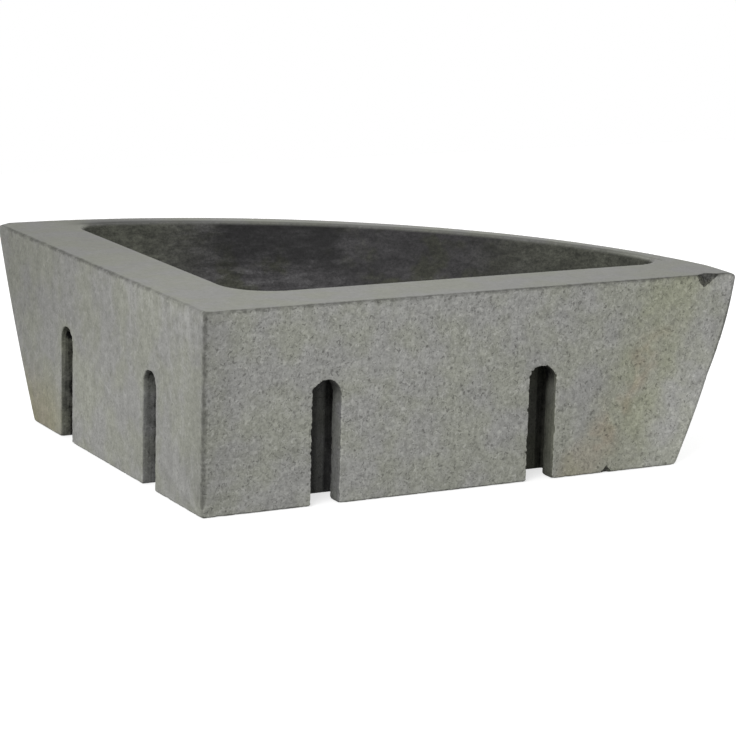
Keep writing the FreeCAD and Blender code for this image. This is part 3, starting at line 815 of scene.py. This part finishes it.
def chrome_finish():
    f = Finish("polished_chrome")
    smear = f.noise(90.0, 4.0, 0.6)
    hairlines = f.noise(900.0, 2.0, 0.5)
    shine = f.mix(f.ease(smear, 0.35, 0.65), (0.70, 0.71, 0.72, 1.0), (0.80, 0.81, 0.82, 1.0))
    roughness = f.ease(smear, 0.3, 0.7, 0.06, 0.16)
    return f.set(Base_Color=shine, Metallic=1.0, Roughness=roughness, Normal=f.bump(hairlines, 0.00002, 0.4))


def brass_finish():
    f = Finish("machined_brass")
    rings = f.add("ShaderNodeTexWave", {"Vector": f.place, "Scale": 160.0, "Distortion": 0.6, "Detail": 2.0},
                  bands_direction="Z").outputs["Fac"]
    tarnish = f.noise(110.0, 4.0, 0.6)
    shine = f.mix(f.ease(tarnish, 0.40, 0.68), (0.66, 0.48, 0.22, 1.0), (0.45, 0.31, 0.14, 1.0))
    roughness = f.ease(tarnish, 0.35, 0.7, 0.24, 0.45)
    return f.set(Base_Color=shine, Metallic=1.0, Roughness=roughness, Normal=f.bump(rings, 0.00004, 0.5))


def steel_finish():
    f = Finish("drawn_steel")
    smear = f.noise(300.0, 3.0, 0.6)
    shine = f.mix(f.ease(smear, 0.35, 0.65), (0.46, 0.46, 0.47, 1.0), (0.60, 0.60, 0.61, 1.0))
    return f.set(Base_Color=shine, Metallic=1.0, Roughness=f.ease(smear, 0.3, 0.7, 0.22, 0.36))


def rubber_finish():
    f = Finish("black_rubber")
    bloom = f.noise(140.0, 4.0, 0.65)
    black = f.mix(f.ease(bloom, 0.45, 0.70), (0.018, 0.018, 0.019, 1.0), (0.048, 0.048, 0.050, 1.0))
    roughness = f.ease(bloom, 0.3, 0.7, 0.62, 0.85)
    return f.set(Base_Color=black, Roughness=roughness, Normal=f.bump(f.noise(1500.0, 2.0), 0.00005, 0.5))


def plastic_finish():
    f = Finish("white_plastic")
    cloud = f.noise(120.0, 3.0, 0.6)
    white = f.mix(f.ease(cloud, 0.35, 0.70), (0.76, 0.76, 0.73, 1.0), (0.66, 0.66, 0.62, 1.0))
    roughness = f.ease(cloud, 0.3, 0.7, 0.38, 0.52)
    return f.set(Base_Color=white, Roughness=roughness, Normal=f.bump(f.noise(1200.0, 2.0), 0.00003, 0.4))


def dress(material, *names):
    for name in names:
        slots = nodes[name].data.materials
        slots.clear()
        slots.append(material)


# Studio

def seen_ray(tree):
    """1 for rays that show a surface to the camera, in a mirror or through glass, and 0 for other light."""
    path = tree.nodes.new("ShaderNodeLightPath").outputs
    seen = path["Is Camera Ray"]
    for other in ("Is Glossy Ray", "Is Transmission Ray"):
        either = tree.nodes.new("ShaderNodeMath")
        either.operation = "MAXIMUM"
        tree.links.new(seen, either.inputs[0])
        tree.links.new(path[other], either.inputs[1])
        seen = either.outputs["Value"]
    return seen


def pale_floor():
    signs = ((-1, -1), (1, -1), (1, 1), (-1, 1))
    corners = [(a * FLOOR_REACH, b * FLOOR_REACH, FLOOR_LEVEL) for a, b in signs]
    floor_mesh = bpy.data.meshes.new("floor")
    floor_mesh.from_pydata(corners, [], [(0, 1, 2, 3)])
    new_object("floor", floor_mesh)
    f = Finish("pale_floor")
    f.set(Base_Color=(0.46, 0.46, 0.46, 1.0), Roughness=0.9, Emission_Color=WHITE,
          Emission_Strength=f.times(seen_ray(f.tree), FLOOR_GLOW), Specular_IOR_Level=0.1)
    floor_mesh.materials.append(f.material)


def white_surroundings():
    world = bpy.data.worlds.new("studio")
    world.use_nodes = True
    tree = world.node_tree
    strength = tree.nodes.new("ShaderNodeMapRange")
    strength.inputs["To Min"].default_value = WORLD_LIGHT
    strength.inputs["To Max"].default_value = WORLD_SEEN
    tree.links.new(seen_ray(tree), strength.inputs["Value"])
    back = tree.nodes["Background"]
    back.inputs["Color"].default_value = WHITE
    tree.links.new(strength.outputs["Result"], back.inputs["Strength"])
    bpy.context.scene.world = world


def soft_lamp(name, place, size, power):
    lamp = bpy.data.lights.new(name, "AREA")
    lamp.size = size
    lamp.energy = power
    obj = new_object(name, lamp)
    aim = Vector(LAMP_AIM) - Vector(place)
    obj.location = place
    obj.rotation_euler = aim.to_track_quat("-Z", "Y").to_euler()


def camera():
    lens = bpy.data.cameras.new("camera")
    lens.sensor_width = SENSOR_WIDTH
    lens.lens = LENS_LENGTH
    view = new_object("camera", lens)
    turn = Matrix.Rotation(math.radians(CAMERA_TURN), 4, "Z")
    tilt = Matrix.Rotation(math.radians(90 - CAMERA_DIP), 4, "X")
    roll = Matrix.Rotation(math.radians(CAMERA_ROLL), 4, "Z")
    view.matrix_world = Matrix.Translation(CAMERA_PLACE) @ turn @ tilt @ roll
    bpy.context.scene.camera = view


stone_block(stone_finish())
chrome = chrome_finish()
threaded_waste(chrome)
dress(chrome, "plug_cap")
dress(brass_finish(), "back_nut", "cartridge_sleeve", "cartridge_end_cap", "plunger", "stud_locknut")
steel = steel_finish()
return_spring(steel)
dress(steel, "plug_stud")
dress(rubber_finish(), "flange_gasket", "under_gasket", "plug_seal")
dress(plastic_finish(), "slip_washer", "index_cam")
pale_floor()
white_surroundings()
soft_lamp("key", **KEY_LAMP)
soft_lamp("fill", **FILL_LAMP)
camera()
bpy.context.scene.view_settings.view_transform = "Standard"
